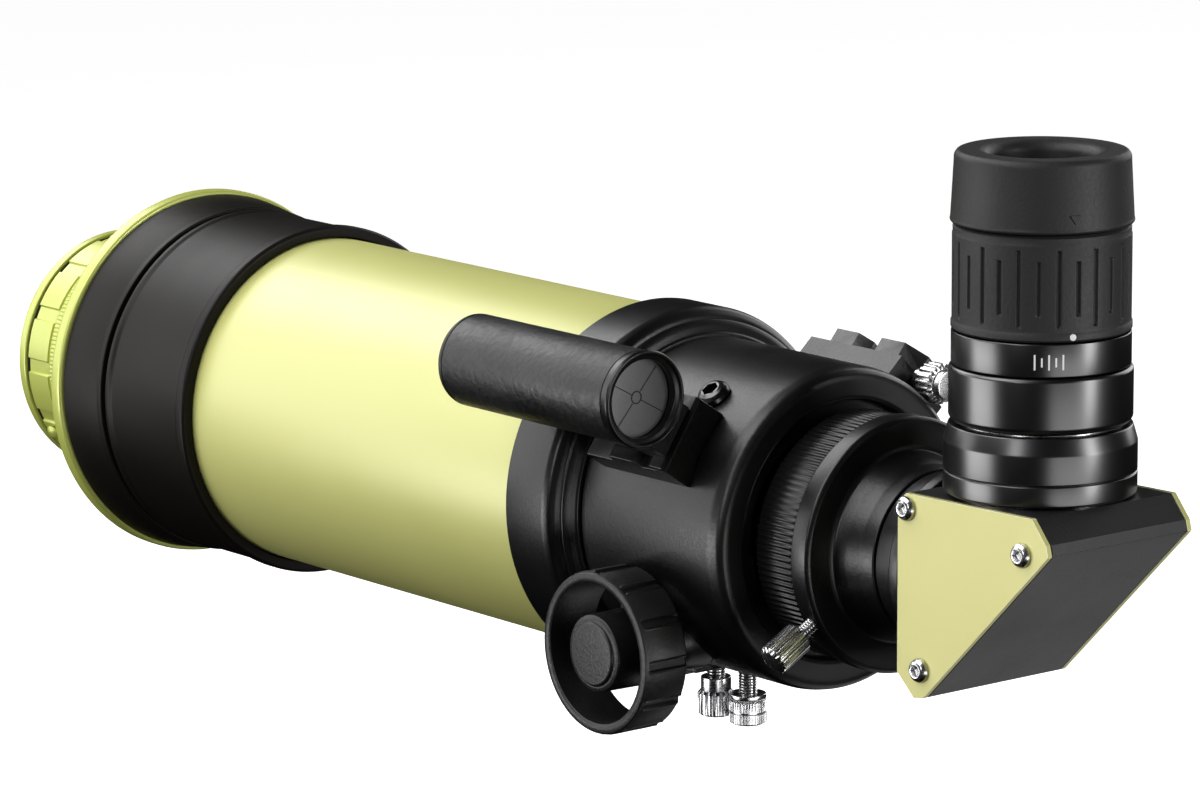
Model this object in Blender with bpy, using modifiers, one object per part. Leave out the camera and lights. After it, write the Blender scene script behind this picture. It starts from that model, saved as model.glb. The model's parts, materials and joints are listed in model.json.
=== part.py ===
"""Compact solar telescope with a side sun finder, a mirror diagonal and an eyepiece.

Metres, +Z up. The optical axis is the Y axis and the objective faces +Y.
The origin lies on the optical axis, near the middle of the main tube.
Lengths and angles below are in millimetres and degrees.
"""

import math

import bmesh
import bpy
from mathutils import Matrix, Vector

MM = 0.001
STEPS = 24
SMALL_STEPS = 10
GAP = 0.3
MERGE = 1e-6
SHARP = math.radians(35)

# Main tube, front collar and back cell
TUBE_R = 37.0
TUBE_WALL = 1.8
TUBE_FRONT = 75.0
TUBE_BACK = -65.0
COLLAR_BACK = 57.5
COLLAR_SPLIT = 89.8
FLANGE_R = 42.5
FLANGE_BACK = 103.3
FLANGE_FRONT = 107.5
CELL_R = 39.5
CELL_FRONT = -59.5
CELL_BACK = -77.2

# Tuning section in front of the flange
TUNER_R = 28.5
TUNER_BACK = 125.5
TUNER_FRONT = 137.9
FRONT_END = 142.2
APERTURE_R = 21.0

# Focuser
DRUM_R = 33.66
DRUM_BACK = -122.0
DRAW_R = 21.1
DRAW_BORE_R = 17.4
DRAW_FRONT = -56.0
DRAW_BACK = -136.1
PINION_Y = -97.5
PINION_Z = -23.1
MODULE = 0.5
TEETH = 12
RACK_HALF = 3.0
RACK_PITCH_Z = PINION_Z + MODULE * TEETH / 2
SHAFT_R = 2.0
KNOB_R = 17.1
KNOB_BACK = 34.6
KNOB_FRONT = 46.3

# Accessory shoes on the drum: degrees left of the top
SHOE_LEFT = 56.0
SHOE_RIGHT = -47.8
SHOE_HALF = 8.3
SHOE_FLOOR = 38.7
SHOE_TOP = 41.0
JAW_TOP = 43.6
JAW_HALF = 5.7

# Diagonal and eyepiece
EYE_Y = -179.7
BARREL_R = 15.87
SOCKET_R = 16.2
HOUSING_HALF = 17.7
PLATE_IN = 18.0
PLATE_OUT = 19.1
HOLDER_R = 19.0
HOUSING = [
    (-161.8, 17.0),
    (-159.5, 14.4),
    (-159.4, -19.4),
    (-164.4, -23.9),
    (-167.1, -23.4),
    (-202.6, 11.0),
    (-202.0, 13.2),
    (-198.0, 17.8),
]
PLATE_SCREWS = [(-162.1, 14.0), (-195.3, 10.3), (-166.2, -17.9)]

# Sun finder
FINDER_X = -47.2
FINDER_Z = 32.3
FINDER_R = 9.65
FINDER_BACK = -115.9
FINDER_FRONT = -59.2

FINISHES = {
    "green": ((0.52, 0.56, 0.13), 0.55, 0.36),
    "collar": ((0.030, 0.024, 0.020), 0.35, 0.42),
    "black": ((0.022, 0.022, 0.024), 0.3, 0.5),
    "plastic": ((0.025, 0.025, 0.027), 0.0, 0.55),
    "rubber": ((0.045, 0.046, 0.050), 0.0, 0.8),
    "gloss": ((0.012, 0.012, 0.014), 0.2, 0.16),
    "chrome": ((0.78, 0.79, 0.80), 1.0, 0.12),
    "steel": ((0.45, 0.46, 0.47), 1.0, 0.3),
    "brass": ((0.75, 0.55, 0.25), 1.0, 0.3),
    "glass": ((0.80, 0.88, 0.90), 0.0, 0.03),
    "filter": ((0.45, 0.06, 0.04), 0.2, 0.05),
    "mirror": ((0.92, 0.93, 0.94), 1.0, 0.02),
    "screen": ((0.40, 0.41, 0.42), 0.0, 0.6),
}


def clear_scene():
    for obj in list(bpy.data.objects):
        bpy.data.objects.remove(obj)


def new_collection(name):
    made = bpy.data.collections.new(name)
    bpy.context.scene.collection.children.link(made)
    return made


clear_scene()
PARTS = new_collection("solar_telescope")
CUTTERS = new_collection("cutters")
CUTTERS.hide_render = True


def material(name, finish):
    colour, metallic, roughness = FINISHES[finish]
    made = bpy.data.materials.new(name + "_finish")
    made.use_nodes = True
    shader = made.node_tree.nodes["Principled BSDF"]
    shader.inputs["Base Color"].default_value = (*colour, 1)
    shader.inputs["Metallic"].default_value = metallic
    shader.inputs["Roughness"].default_value = roughness
    return made


def axis_frame(axis, origin=(0, 0, 0), side=(1, 0, 0)):
    """Frame at origin whose Z runs along axis and whose X is as near side as it can be."""
    z = Vector(axis).normalized()
    side = Vector(side)
    if abs(z.dot(side)) > 0.99:
        side = Vector((0, 1, 0))
    x = (side - z * z.dot(side)).normalized()
    y = z.cross(x)
    turn = Matrix((x, y, z)).transposed().to_4x4()
    return Matrix.Translation(Vector(origin) * MM) @ turn


def radial(angle):
    """Unit vector across the optical axis, at this many degrees left of the top."""
    turn = math.radians(angle)
    return Vector((-math.sin(turn), 0, math.cos(turn)))


def shoe_frame(angle):
    """Frame with X along world Y, Y outwards from the axis and Z across the shoe."""
    out = radial(angle)
    return axis_frame(Vector((0, 1, 0)).cross(out), side=(0, 1, 0))


ALONG_Y = axis_frame((0, 1, 0))
ALONG_EYE = axis_frame((0, 0, 1), (0, EYE_Y, 0))
ALONG_FINDER = axis_frame((0, 1, 0), (FINDER_X, 0, FINDER_Z))
ACROSS = axis_frame((1, 0, 0), side=(0, 1, 0))


def solid_from(source, name, finish):
    """Turns a curve or a modified object into one plain mesh object."""
    bpy.context.view_layer.update()
    graph = bpy.context.evaluated_depsgraph_get()
    mesh = bpy.data.meshes.new_from_object(source.evaluated_get(graph))
    work = bmesh.new()
    work.from_mesh(mesh)
    bmesh.ops.remove_doubles(work, verts=work.verts, dist=MERGE)
    bmesh.ops.recalc_face_normals(work, faces=work.faces)
    work.to_mesh(mesh)
    work.free()
    mesh.materials.clear()
    mesh.materials.append(material(name, finish))
    mesh.shade_smooth()
    mesh.set_sharp_from_angle(angle=SHARP)
    made = bpy.data.objects.new(name, mesh)
    made.matrix_world = source.matrix_world
    PARTS.objects.link(made)
    bpy.data.objects.remove(source)
    made.name = name
    return made


def turned(name, profile, finish, frame=ALONG_Y, steps=STEPS):
    """Turns a profile of (radius, height) points, top first down the outer side."""
    touches_axis = profile[0][0] == 0 and profile[-1][0] == 0
    points = [(radius * MM, 0, height * MM) for radius, height in profile]
    count = len(points)
    edges = [(i, (i + 1) % count) for i in range(count - touches_axis)]
    mesh = bpy.data.meshes.new(name)
    mesh.from_pydata(points, edges, [])
    rough = bpy.data.objects.new(name + "_profile", mesh)
    rough.matrix_world = frame
    PARTS.objects.link(rough)
    screw = rough.modifiers.new("turn", "SCREW")
    screw.axis = "Z"
    screw.angle = 2 * math.pi
    screw.steps = steps
    screw.render_steps = steps
    screw.use_merge_vertices = touches_axis
    screw.merge_threshold = MERGE
    return solid_from(rough, name, finish)


def prism(name, loops, low, high, finish, frame=ALONG_Y):
    """Extrudes closed outlines, later ones being holes, from low to high along Z."""
    curve = bpy.data.curves.new(name, "CURVE")
    curve.dimensions = "2D"
    curve.fill_mode = "BOTH"
    curve.extrude = (high - low) / 2 * MM
    for loop in loops:
        spline = curve.splines.new("POLY")
        spline.points.add(len(loop) - 1)
        spline.use_cyclic_u = True
        for point, (x, y) in zip(spline.points, loop):
            point.co = (x * MM, y * MM, 0, 1)
    rough = bpy.data.objects.new(name + "_outline", curve)
    rough.matrix_world = frame @ Matrix.Translation((0, 0, (low + high) / 2 * MM))
    PARTS.objects.link(rough)
    return solid_from(rough, name, finish)


def combine(target, tool, operation):
    """Adds or cuts a tool, which moves to the cutters."""
    PARTS.objects.unlink(tool)
    CUTTERS.objects.link(tool)
    tool.display_type = "WIRE"
    tool.hide_render = True
    boolean = target.modifiers.new(tool.name, "BOOLEAN")
    boolean.operation = operation
    boolean.solver = "EXACT"
    boolean.object = tool


def ring(outer, inner, top, bottom):
    return [(outer, top), (outer, bottom), (inner, bottom), (inner, top)]


def disc(radius, top, bottom):
    return [(0, top), (radius, top), (radius, bottom), (0, bottom)]


def rectangle(x0, x1, y0, y1):
    return [(x0, y0), (x1, y0), (x1, y1), (x0, y1)]


def circle(radius, count, x=0, y=0):
    turns = [2 * math.pi * i / count for i in range(count)]
    return [(x + radius * math.cos(t), y + radius * math.sin(t)) for t in turns]


def toothed(count, points):
    """Outline with a repeated tooth of (radius, fraction of one pitch) points."""
    loop = []
    for i in range(count):
        for radius, part in points:
            turn = 2 * math.pi * (i + part) / count
            loop.append((radius * math.cos(turn), radius * math.sin(turn)))
    return loop


def sector(inner, outer, start, end, count=3):
    """Outline of a window between two radii and two angles."""
    turns = [math.radians(start + (end - start) * i / count) for i in range(count + 1)]
    loop = [(outer * math.cos(t), outer * math.sin(t)) for t in turns]
    return loop + [(inner * math.cos(t), inner * math.sin(t)) for t in reversed(turns)]


def drill(target, name, radius, low, high, frame):
    tool = turned(name, disc(radius, high, low), "steel", frame, SMALL_STEPS)
    combine(target, tool, "DIFFERENCE")


def thumb_screw(name, frame, shank, head, grooves=10, bands=()):
    """Screw of a plain shank and a fluted head, each given as (radius, low, high)."""
    radius, low, high = shank
    made = turned(name, disc(radius, high, low), "chrome", frame, SMALL_STEPS)
    radius, low, high = head
    depth = radius - 0.45
    tooth = [(radius, -0.24), (radius, 0.24), (depth, 0.34), (depth, 0.66)]
    knob = prism(name + "_head", [toothed(grooves, tooth)], low, high, "chrome", frame)
    combine(made, knob, "UNION")
    for number, (radius, low, high) in enumerate(bands):
        band = disc(radius, high, low)
        collar = turned(f"{name}_band{number}", band, "chrome", frame, SMALL_STEPS)
        combine(made, collar, "UNION")
    return made


def button_screw(name, frame, seat, head_r, shank_r, depth, finish):
    """Button-head screw with a hexagon socket; seat is the height of its underside."""
    profile = [
        (0, seat + head_r * 0.55),
        (head_r * 0.7, seat + head_r * 0.45),
        (head_r, seat),
        (shank_r, seat),
        (shank_r, seat - depth),
        (0, seat - depth),
    ]
    made = turned(name, profile, finish, frame, SMALL_STEPS)
    top = seat + head_r
    socket = [circle(head_r * 0.45, 6)]
    tool = prism(name + "_socket", socket, seat + head_r * 0.2, top, finish, frame)
    combine(made, tool, "DIFFERENCE")
    return made


def lens(name, radius, faces, edges, finish, frame):
    """Lens with spherical faces: faces are the centre heights, edges the rim heights."""
    top = [(radius * f, faces[0] + (edges[0] - faces[0]) * f * f) for f in (0, 0.5, 1)]
    low = [(radius * f, faces[1] + (edges[1] - faces[1]) * f * f) for f in (1, 0.5, 0)]
    return turned(name, top + low, finish, frame)


def tuning_section():
    front = [
        (28.0, FRONT_END),
        (28.6, FRONT_END - 0.6),
        (28.6, TUNER_FRONT + 1.0),
        (23.9, TUNER_FRONT + 1.0),
        (23.9, 126.4),
        (APERTURE_R, 126.4),
        (APERTURE_R, FRONT_END),
    ]
    turned("front_ring", front, "green")
    wide = [(TUNER_R, -0.38), (TUNER_R, 0), (TUNER_R, 0.38)]
    pads = wide + [(TUNER_R - 0.8, 0.42), (TUNER_R - 0.8, 0.58)]
    loops = [toothed(14, pads), circle(26.3, STEPS)]
    prism("tuning_ring", loops, TUNER_BACK, TUNER_FRONT, "green")
    frame = axis_frame(radial(124), (0, 134.0, 0))
    turned("tuning_button", disc(1.9, 30.1, 28.8), "green", frame, SMALL_STEPS)
    cell = [
        (26.0, 138.4),
        (26.0, 125.2),
        (27.6, 125.2),
        (27.6, FLANGE_FRONT + GAP),
        (25.7, FLANGE_FRONT + GAP),
        (25.7, 99.0),
        (22.5, 99.0),
        (22.5, 116.0),
        (24.2, 116.0),
        (24.2, 138.4),
    ]
    turned("tuner_cell", cell, "green")
    turned("filter_plate_front", disc(23.9, 126.1, 121.9), "filter")
    turned("filter_plate_rear", disc(23.9, 121.6, 116.3), "filter")


def front_collar():
    flange = [
        (41.5, FLANGE_FRONT),
        (FLANGE_R, FLANGE_FRONT - 1.0),
        (FLANGE_R, FLANGE_BACK),
        (36.2, FLANGE_BACK),
        (36.2, 95.5),
        (26.0, 95.5),
        (26.0, FLANGE_FRONT),
    ]
    turned("front_flange", flange, "green")
    outer = [(41.6, FLANGE_BACK - GAP), (39.5, COLLAR_SPLIT + 0.2)]
    inner = [(36.5, COLLAR_SPLIT + 0.2), (36.5, FLANGE_BACK - GAP)]
    turned("collar_front", outer + inner, "collar")
    rear = [
        (36.2, 95.0),
        (36.2, COLLAR_SPLIT - 0.2),
        (39.1, COLLAR_SPLIT - 0.2),
        (39.4, COLLAR_SPLIT - 0.8),
        (39.4, COLLAR_BACK + 3.2),
        (39.9, COLLAR_BACK + 2.8),
        (39.9, COLLAR_BACK),
        (TUBE_R + GAP, COLLAR_BACK),
        (TUBE_R + GAP, TUBE_FRONT + GAP),
        (34.0, TUBE_FRONT + GAP),
        (34.0, 95.0),
    ]
    turned("collar_rear", rear, "collar")
    cell = [(33.7, 94.0), (33.7, 76.0), (24.0, 76.0), (24.0, 78.0), (25.8, 78.0), (25.8, 94.0)]
    turned("lens_cell", cell, "black")
    lens("objective_crown", 25.5, (91.5, 83.2), (88.0, 86.0), "glass", ALONG_Y)
    lens("objective_flint", 25.5, (82.9, 80.0), (85.7, 78.4), "glass", ALONG_Y)


def main_tube():
    shape = ring(TUBE_R, TUBE_R - TUBE_WALL, TUBE_FRONT, TUBE_BACK)
    turned("main_tube", shape, "green")
    turned("baffle", ring(TUBE_R - TUBE_WALL - GAP, 19.0, 1.5, 0.0), "black")


def back_cell():
    shape = [
        (39.0, CELL_FRONT),
        (CELL_R, CELL_FRONT - 0.5),
        (CELL_R, -72.6),
        (38.8, -74.0),
        (36.8, -74.9),
        (36.8, -76.0),
        (34.4, CELL_BACK),
        (28.9, CELL_BACK),
        (28.9, -84.0),
        (27.0, -84.0),
        (27.0, -70.0),
        (33.5, TUBE_BACK - GAP),
        (TUBE_R + GAP, TUBE_BACK - GAP),
        (TUBE_R + GAP, CELL_FRONT),
    ]
    turned("back_cell", shape, "black")


def focuser_body():
    shape = [
        (DRUM_R, CELL_BACK - GAP),
        (DRUM_R, -118.5),
        (33.2, -120.8),
        (32.0, DRUM_BACK),
        (27.0, DRUM_BACK),
        (27.0, -118.0),
        (DRAW_R + GAP, -118.0),
        (DRAW_R + GAP, -84.3),
        (29.2, -84.3),
        (29.2, CELL_BACK - GAP),
    ]
    drum = turned("focuser_body", shape, "black")
    pocket = rectangle(PINION_Y - 3.9, PINION_Y + 3.9, -27.2, -18.0)
    tool = prism("pinion_pocket", [pocket], -3.4, 3.4, "black", ACROSS)
    combine(drum, tool, "DIFFERENCE")
    shaft = axis_frame((1, 0, 0), (0, PINION_Y, PINION_Z))
    drill(drum, "shaft_hole", 3.9, -40, 40, shaft)
    flat = rectangle(-86.8, -77.0, -40.0, -31.0)
    tool = prism("cover_seat", [flat], -9.3, 9.3, "black", ACROSS)
    combine(drum, tool, "DIFFERENCE")
    drill(drum, "lock_hole", 2.3, -36, -19, axis_frame((0, 0, 1), (0, -91, 0)))
    screw = axis_frame(radial(36), (0, -103.7, 0))
    drill(drum, "cover_hole", 1.8, 27.5, 40, screw)
    button_screw("drum_screw", screw, DRUM_R + GAP, 2.8, 1.5, 5.5, "gloss")
    for side, name in ((-1, "bush_left"), (1, "bush_right")):
        frame = axis_frame((side, 0, 0), (0, PINION_Y, PINION_Z))
        turned(name, ring(3.6, SHAFT_R + GAP, 27.0, 10.5), "brass", frame, SMALL_STEPS)


def focuser_cover():
    screw = axis_frame((0, 0, 1), (0, -80.6, 0))
    plate = rectangle(-86.5, -77.7, -33.1, -31.3)
    plate = prism("cover_plate", [plate], -9.0, 9.0, "steel", ACROSS)
    drill(plate, "plate_hole", 2.2, -34, -30, screw)
    block = rectangle(-84.5, -77.7, -35.7, -33.4)
    block = prism("cover_block", [block], -9.0, 9.0, "black", ACROSS)
    drill(block, "block_hole", 2.2, -37, -32, screw)


def drawtube():
    shape = ring(DRAW_R, DRAW_BORE_R, DRAW_FRONT, DRAW_BACK)
    tube = turned("drawtube", shape, "chrome")
    slot = rectangle(-104.3, -50.0, -30.0, -18.6)
    tool = prism("rack_slot", [slot], -RACK_HALF - GAP, RACK_HALF + GAP, "steel", ACROSS)
    combine(tube, tool, "DIFFERENCE")
    tooth = MODULE * math.pi
    tip = RACK_PITCH_Z - MODULE
    root = RACK_PITCH_Z + 1.25 * MODULE
    outline = [(-104.0, -18.9), (-104.0, root)]
    first = math.ceil((-103.4 - PINION_Y) / tooth - 0.5) + 0.5
    centre = PINION_Y + first * tooth
    while centre < -57.6:
        outline.append((centre - 0.52, root))
        outline.append((centre - 0.14, tip))
        outline.append((centre + 0.14, tip))
        outline.append((centre + 0.52, root))
        centre += tooth
    outline += [(-57.0, root), (-57.0, -18.9)]
    prism("focus_rack", [outline], -RACK_HALF, RACK_HALF, "brass", ACROSS)


def pinion():
    frame = axis_frame((1, 0, 0), (0, PINION_Y, PINION_Z), (0, 0, 1))
    shaft = turned("pinion_shaft", disc(SHAFT_R, 44.5, -44.5), "steel", frame, SMALL_STEPS)
    pitch_r = MODULE * TEETH / 2
    root, tip = pitch_r - 1.25 * MODULE, pitch_r + MODULE
    tooth = [(root, -0.29), (tip, -0.08), (tip, 0.08), (root, 0.29)]
    gear = prism("gear", [toothed(TEETH, tooth)], -2.9, 2.9, "steel", frame)
    combine(shaft, gear, "UNION")
    for side, name in ((-1, "focus_knob_left"), (1, "focus_knob_right")):
        focus_knob(name, axis_frame((side, 0, 0), (0, PINION_Y, PINION_Z), (0, 0, 1)))


def focus_knob(name, frame):
    base = KNOB_R - 0.9
    pads = [(KNOB_R, -0.32), (KNOB_R, 0.32), (base, 0.36), (base, 0.64)]
    windows = [sector(8.6, 14.7, i * 72 + 8, i * 72 + 64) for i in range(5)]
    loops = [toothed(12, pads)] + windows
    knob = prism(name, loops, KNOB_BACK, KNOB_FRONT, "plastic", frame)
    hollow = turned(name + "_hollow", ring(14.9, 7.7, 50.0, 37.6), "plastic", frame)
    combine(knob, hollow, "DIFFERENCE")
    hub = [(0, 47.1), (6.6, 47.1), (7.2, 46.6), (8.0, 46.5), (8.0, 31.5), (0, 31.5)]
    combine(knob, turned(name + "_hub", hub, "plastic", frame, 15), "UNION")
    drill(knob, name + "_bore", SHAFT_R + GAP, 30.0, 44.9, frame)


def underside_screws():
    frame = axis_frame((0, 0, -1), (0, -80.6, 0))
    collar = [(3.2, 38.2, 41.6)]
    thumb_screw("tension_screw", frame, (2.0, 31.4, 45.0), (3.95, 41.2, 46.7), bands=collar)
    frame = axis_frame((0, 0, -1), (0, -91.0, 0))
    thumb_screw("lock_screw", frame, (2.0, 20.9, 45.0), (3.95, 39.9, 46.6))


def visual_back():
    tooth = [(25.5, 0), (24.9, 0.5)]
    loops = [toothed(60, tooth), circle(DRAW_R + GAP, STEPS)]
    prism("knurled_ring", loops, -135.0, -123.2, "black")
    back = [
        (16.9, -125.0),
        (16.9, -137.0),
        (21.4, -137.0),
        (21.4, -135.4),
        (26.3, -135.4),
        (26.3, -140.0),
        (25.9, -140.4),
        (19.15, -140.4),
        (17.3, -150.0),
        (SOCKET_R, -150.0),
        (SOCKET_R, -125.0),
    ]
    body = turned("visual_back", back, "black")
    frame = axis_frame(radial(120), (0, -138.0, 0))
    drill(body, "clamp_hole", 1.8, 15.5, 30.0, frame)
    thumb_screw("clamp_screw", frame, (1.5, 16.3, 33.0), (3.3, 30.1, 38.6), 8)


def shoe(name, angle, outline):
    """Block that stands on the focuser drum."""
    made = prism(name, [outline], -SHOE_HALF, SHOE_HALF, "black", shoe_frame(angle))
    saddle = turned(name + "_saddle", disc(DRUM_R + GAP, -70, -130), "black")
    combine(made, saddle, "DIFFERENCE")
    return made


def jaw(name, front, back, front_cut, back_cut):
    """Raised jaw of the empty shoe: its corners are cut off and its sides lean out."""
    half = JAW_HALF
    side = [
        (front, half - front_cut),
        (front - front_cut, half),
        (back + back_cut * 1.3, half),
        (back, half - back_cut),
    ]
    outline = side + [(y, -across) for y, across in reversed(side)]
    frame = axis_frame(radial(SHOE_RIGHT), (0, 0, 0), (0, 1, 0))
    made = prism(name, [outline], SHOE_FLOOR - 1.0, JAW_TOP, "black", frame)
    low = min(vertex.co.z for vertex in made.data.vertices)
    for vertex in made.data.vertices:
        if vertex.co.z < low + MM:
            vertex.co.y *= 0.86
    return made


def shoes():
    grooved = [
        (-83.0, 31.0),
        (-83.0, 38.2),
        (-83.5, SHOE_FLOOR),
        (-92.0, SHOE_FLOOR),
        (-92.8, SHOE_TOP - 0.3),
        (-93.1, SHOE_TOP),
        (-100.3, SHOE_TOP),
        (-101.2, SHOE_FLOOR),
        (-106.4, SHOE_FLOOR),
        (-105.7, SHOE_TOP),
        (-109.6, SHOE_TOP),
        (-110.4, SHOE_TOP - 0.8),
        (-110.4, 31.0),
    ]
    shoe("shoe_left", SHOE_LEFT, grooved)
    flat = [(-84.4, 31.0), (-84.4, SHOE_FLOOR), (-113.0, SHOE_FLOOR), (-113.0, 31.0)]
    right = shoe("shoe_right", SHOE_RIGHT, flat)
    combine(right, jaw("front_jaw", -86.2, -96.6, 0.4, 2.4), "UNION")
    combine(right, jaw("rear_jaw", -100.3, -112.7, 0.4, 3.6), "UNION")
    centre = radial(SHOE_RIGHT + 1.8) * 38.4
    frame = axis_frame((0, -1, 0), centre)
    drill(right, "shoe_hole", 1.8, 108.7, 120.0, frame)
    bands = [(2.4, 113.4, 116.4), (3.25, 121.0, 122.8)]
    thumb_screw("shoe_screw", frame, (1.5, 109.0, 122.2), (4.25, 116.2, 120.9), 10, bands)


def sun_finder():
    tube = ring(FINDER_R, 8.5, FINDER_FRONT - 2.0, FINDER_BACK + 2.8)
    turned("finder_tube", tube, "plastic", ALONG_FINDER, 20)
    back = ring(10.0, 8.0, FINDER_BACK + 2.5, FINDER_BACK)
    turned("finder_rear_ring", back, "plastic", ALONG_FINDER, 20)
    screen = disc(8.2, FINDER_BACK + 4.6, FINDER_BACK + 3.2)
    turned("finder_screen", screen, "screen", ALONG_FINDER, 20)
    cap = [
        (FINDER_R - 0.5, FINDER_FRONT),
        (FINDER_R, FINDER_FRONT - 0.5),
        (FINDER_R, FINDER_FRONT - 1.7),
        (1.0, FINDER_FRONT - 1.7),
        (1.0, FINDER_FRONT),
    ]
    turned("finder_front_cap", cap, "plastic", ALONG_FINDER, 20)
    outline = [
        (-110.0, SHOE_TOP + GAP),
        (-105.3, SHOE_TOP + GAP),
        (-105.9, SHOE_FLOOR + GAP),
        (-101.6, SHOE_FLOOR + GAP),
        (-100.7, SHOE_TOP + 0.5),
        (-88.0, SHOE_TOP + 0.5),
        (-88.0, 52.0),
        (-110.0, 52.0),
    ]
    foot = prism("finder_foot", [outline], -5.6, 5.6, "plastic", shoe_frame(SHOE_LEFT))
    bed = turned("finder_bed", disc(FINDER_R + GAP, -50, -125), "plastic", ALONG_FINDER, 20)
    combine(foot, bed, "DIFFERENCE")


def slanted_bore(name, radius, past, slope, frame):
    """Bore cutter that ends slanted, just past the mirror plane and inside the pocket."""
    length = 40.0
    made = prism(name, [circle(radius, STEPS)], 0, length, "black", frame)
    for vertex in made.data.vertices:
        if vertex.co.z < 0:
            vertex.co.z = slope * vertex.co.y - (length / 2 + past) * MM
    return made


def diagonal():
    body = prism("diagonal_body", [HOUSING], -HOUSING_HALF, HOUSING_HALF, "black", ACROSS)
    forward = axis_frame((0, 1, 0), (0, EYE_Y, 0))
    combine(body, slanted_bore("front_bore", 14.1, 0.4, 1, forward), "DIFFERENCE")
    combine(body, slanted_bore("eye_bore", 14.0, 0.9, -1, ALONG_EYE), "DIFFERENCE")
    socket = turned("eye_socket", disc(SOCKET_R, 25.0, 15.5), "black", ALONG_EYE)
    combine(body, socket, "DIFFERENCE")
    tilt = axis_frame((0, -1, -1), (0, EYE_Y, 0))
    pocket = prism("mirror_pocket", [rectangle(-15.5, 15.5, -20.9, 20.9)], -0.3, 5.3, "black", tilt)
    combine(body, pocket, "DIFFERENCE")
    prism("diagonal_mirror", [rectangle(-15.2, 15.2, -20.6, 20.6)], 0.0, 5.0, "mirror", tilt)
    nose = [
        (BARREL_R, -128.0),
        (BARREL_R, -150.4),
        (17.0, -150.4),
        (17.0, -155.0),
        (18.9, -156.5),
        (18.9, -159.1),
        (13.7, -159.1),
        (13.7, -163.0),
        (12.6, -163.0),
        (12.6, -128.0),
    ]
    turned("diagonal_nose", nose, "black")
    for side, name in ((-1, "left"), (1, "right")):
        holes = [circle(1.5, SMALL_STEPS, y, z) for y, z in PLATE_SCREWS]
        low, high = sorted((side * PLATE_IN, side * PLATE_OUT))
        prism(f"side_plate_{name}", [HOUSING] + holes, low, high, "green", ACROSS)
        for number, (y, z) in enumerate(PLATE_SCREWS, 1):
            frame = axis_frame((side, 0, 0), (0, y, z), (0, 1, 0))
            drill(body, f"hole_{name}_{number}", 1.5, 16.0, 20.0, frame)
            screw = f"plate_screw_{name}_{number}"
            button_screw(screw, frame, PLATE_OUT + 0.1, 2.5, 1.2, 2.8, "chrome")


def eyepiece_holder():
    shape = [
        (18.05, 31.7),
        (HOLDER_R, 28.4),
        (HOLDER_R, 18.1),
        (SOCKET_R, 18.1),
        (SOCKET_R, 31.7),
    ]
    holder = turned("eyepiece_holder", shape, "black", ALONG_EYE)
    frame = axis_frame((0.61, 0.79, 0), (0, EYE_Y, 25.5))
    drill(holder, "holder_hole", 1.8, 15.0, 22.0, frame)
    thumb_screw("holder_screw", frame, (1.5, 16.4, 26.0), (3.3, 22.0, 28.5), 8)


def eyepiece():
    barrel = [
        (11.7, 35.6),
        (11.7, 32.0),
        (BARREL_R, 32.0),
        (BARREL_R, 16.0),
        (14.4, 16.0),
        (14.4, 30.5),
        (10.6, 30.5),
        (10.6, 35.6),
    ]
    turned("eyepiece_barrel", barrel, "chrome", ALONG_EYE)
    body = [
        (14.5, 78.0),
        (14.5, 43.3),
        (18.05, 43.3),
        (18.05, 33.0),
        (17.4, 32.3),
        (12.0, 32.3),
        (12.0, 78.0),
    ]
    turned("eyepiece_body", body, "gloss", ALONG_EYE)
    turned("eyepiece_band", ring(17.6, 14.8, 50.1, 43.6), "plastic", ALONG_EYE)
    groove = [(17.6, -0.36), (17.6, 0.36), (17.0, 0.42), (17.0, 0.58)]
    loops = [toothed(20, groove), circle(14.8, STEPS)]
    prism("eyepiece_grip", loops, 50.4, 71.0, "rubber", ALONG_EYE)
    cup = [
        (16.4, 85.4),
        (17.2, 84.8),
        (18.0, 71.3),
        (14.8, 71.3),
        (14.8, 78.3),
        (10.2, 78.3),
        (10.2, 84.0),
        (11.6, 85.4),
    ]
    turned("eyecup", cup, "rubber", ALONG_EYE)
    lens("eye_lens", 11.7, (77.0, 72.0), (75.5, 73.5), "glass", ALONG_EYE)


tuning_section()
front_collar()
main_tube()
back_cell()
focuser_body()
focuser_cover()
drawtube()
pinion()
underside_screws()
visual_back()
shoes()
sun_finder()
diagonal()
eyepiece_holder()
eyepiece()
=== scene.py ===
"""Looks of the compact solar telescope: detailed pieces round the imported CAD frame.

Lengths are in millimetres unless a name ends in _M, and are scaled by MM.
A profile is a list of (radius, height) along its frame's Z, which points forwards on the tube and up on
the eyepiece. It runs down the outer side and up the bore, or from the top centre to the bottom centre.
"""

import json
import math

import bmesh
import bpy
from mathutils import Matrix, Vector


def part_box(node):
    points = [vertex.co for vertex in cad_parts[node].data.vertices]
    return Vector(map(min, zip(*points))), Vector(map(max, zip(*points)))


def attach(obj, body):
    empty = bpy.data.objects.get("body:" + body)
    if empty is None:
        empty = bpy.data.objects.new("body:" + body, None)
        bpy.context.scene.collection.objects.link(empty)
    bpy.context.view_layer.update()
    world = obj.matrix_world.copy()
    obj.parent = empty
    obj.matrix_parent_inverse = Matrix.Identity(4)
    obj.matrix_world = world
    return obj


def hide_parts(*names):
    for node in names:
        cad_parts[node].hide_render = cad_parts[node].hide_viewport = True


MM = 0.001

# Gap that the CAD leaves between neighbouring pieces.
GAP = 0.3

# Signs of X on the two sides, seen from behind.
SIDES = ((-1, "left"), (1, "right"))

# Steps round a turned piece, from the screws to the main tube.
SMALL = 48
BUTTON_STEPS = 72
MEDIUM = 96
FINE = 144
LARGE = 192
LARGEST = 256

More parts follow.
